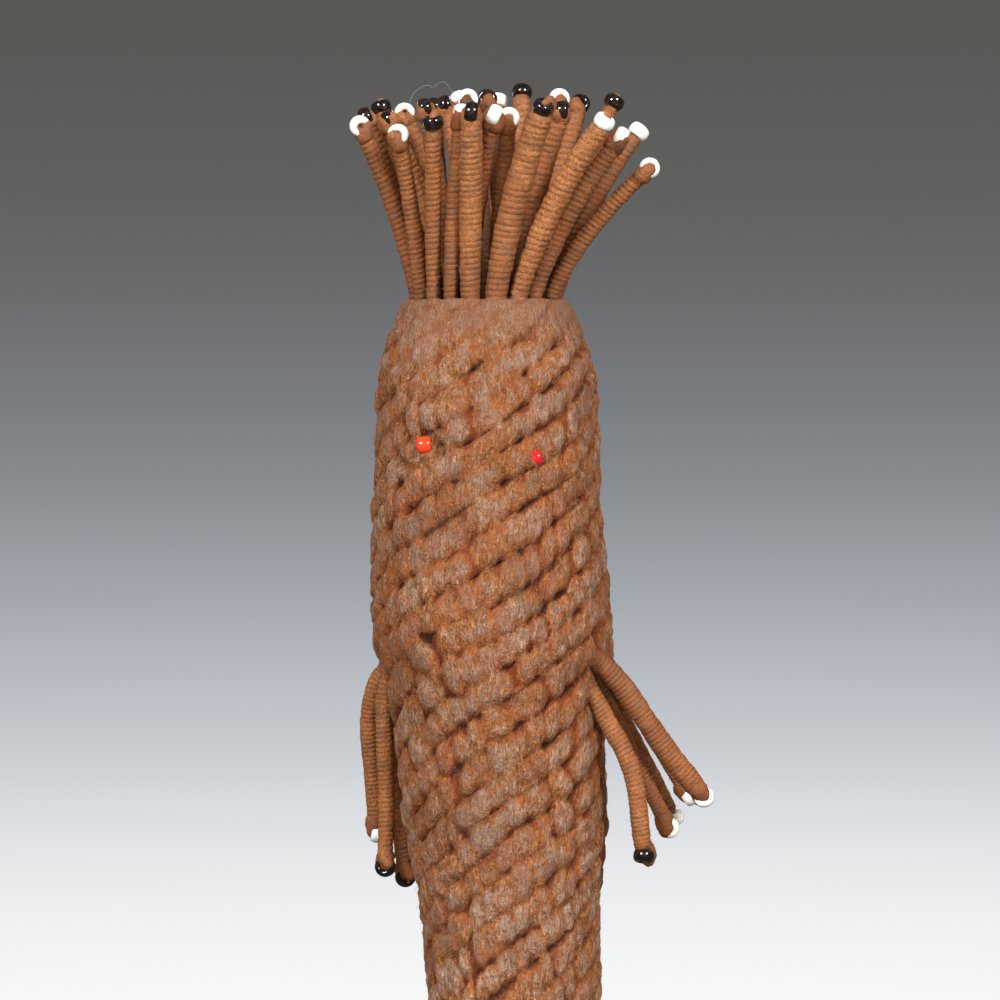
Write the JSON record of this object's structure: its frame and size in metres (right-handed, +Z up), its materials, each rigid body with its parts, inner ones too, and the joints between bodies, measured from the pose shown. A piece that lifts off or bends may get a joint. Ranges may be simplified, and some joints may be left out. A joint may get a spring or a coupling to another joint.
{
  "type": "fali doll",
  "caption": "Standing doll of knotted cord with a flat head, a brush of thread-wrapped cord hair, hanging cord arms, bead eyes and glass beads on the cord tips.",
  "frame": {"origin": "middle of the foot's flat underside", "axes": "+Z up along the body, the face looks to -Y, +X to the right of a viewer in front"},
  "size_m": [0.0652, 0.0524, 0.2556],
  "materials": {
    "knotted_cord": "matte ochred plant-fibre cord",
    "wrapped_cord": "matte brown thread wrapping",
    "white_glass": "opaque gloss",
    "black_glass": "opaque gloss",
    "orange_red_glass": "opaque gloss",
    "crimson_glass": "opaque gloss"
  },
  "bodies": {
    "root": {"body": "knotted_cord", "left_eye_bead": "orange_red_glass", "right_eye_bead": "crimson_glass", "hair_cord_01": "wrapped_cord", "hair_cord_02": "wrapped_cord", "hair_cord_03": "wrapped_cord", "hair_cord_04": "wrapped_cord", "hair_cord_05": "wrapped_cord", "hair_cord_06": "wrapped_cord", "hair_cord_07": "wrapped_cord", "hair_cord_08": "wrapped_cord", "hair_cord_09": "wrapped_cord", "hair_cord_10": "wrapped_cord", "hair_cord_11": "wrapped_cord", "hair_cord_12": "wrapped_cord", "hair_cord_13": "wrapped_cord", "hair_cord_14": "wrapped_cord", "hair_cord_15": "wrapped_cord", "hair_cord_16": "wrapped_cord", "hair_cord_17": "wrapped_cord", "hair_cord_18": "wrapped_cord", "hair_cord_19": "wrapped_cord", "hair_cord_20": "wrapped_cord", "hair_cord_21": "wrapped_cord", "hair_cord_22": "wrapped_cord", "hair_cord_23": "wrapped_cord", "hair_cord_24": "wrapped_cord", "hair_cord_25": "wrapped_cord", "hair_cord_26": "wrapped_cord", "hair_cord_27": "wrapped_cord", "hair_cord_28": "wrapped_cord", "hair_bead_01": "white_glass", "hair_bead_02": "white_glass", "hair_bead_03": "black_glass", "hair_bead_04": "white_glass", "hair_bead_05": "black_glass", "hair_bead_06": "black_glass", "hair_bead_07": "white_glass", "hair_bead_08": "white_glass", "hair_bead_09": "white_glass", "hair_bead_10": "white_glass", "hair_bead_11": "black_glass", "hair_bead_12": "white_glass", "hair_bead_13": "white_glass", "right_arm_cord_1": "wrapped_cord", "right_arm_cord_2": "wrapped_cord", "right_arm_cord_3": "wrapped_cord", "right_arm_cord_4": "wrapped_cord", "right_arm_cord_5": "wrapped_cord", "left_arm_cord_1": "wrapped_cord", "left_arm_cord_2": "wrapped_cord", "left_arm_cord_3": "wrapped_cord", "right_arm_bead_1": "white_glass", "right_arm_bead_2": "black_glass", "right_arm_bead_3": "white_glass", "right_arm_bead_4": "white_glass", "right_arm_bead_5": "white_glass", "left_arm_bead_1": "white_glass", "left_arm_bead_2": "black_glass", "left_arm_bead_3": "black_glass"}
  },
  "joints": []
}
